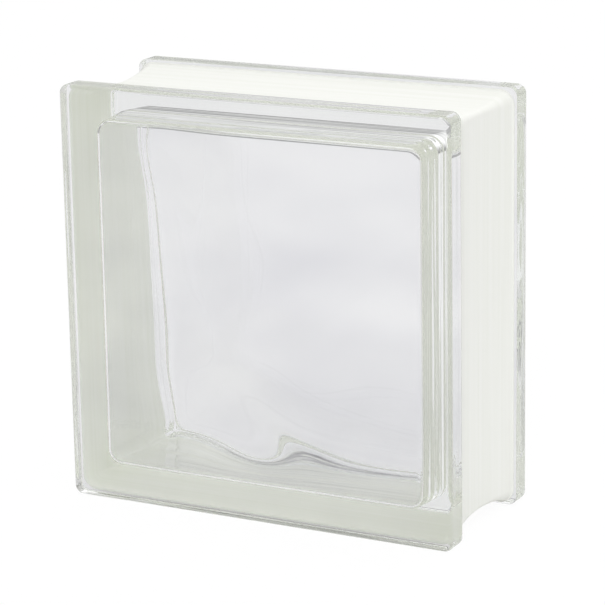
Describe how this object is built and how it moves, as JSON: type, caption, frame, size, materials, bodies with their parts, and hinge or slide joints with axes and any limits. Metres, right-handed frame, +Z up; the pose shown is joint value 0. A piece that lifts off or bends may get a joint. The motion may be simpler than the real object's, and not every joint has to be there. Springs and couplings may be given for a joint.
{
  "type": "glass block",
  "caption": "Square hollow glass block with wavy panes and a white-coated mortar channel round its edges, for light-passing walls.",
  "frame": {"origin": "on the floor under the middle of the block, which stands on its edge", "axes": "+X along the width, +Y through the thickness from the front face to the back face, +Z up"},
  "size_m": [0.19, 0.08, 0.19],
  "materials": {
    "clear_glass": "pressed clear soda-lime glass with a faint green cast, polished outside, waves pressed inside the panes",
    "white_coat": "matte white sprayed coat with faint streaks"
  },
  "bodies": {
    "root": {"glass_block": "clear_glass", "edge_coating": "white_coat"}
  },
  "joints": []
}
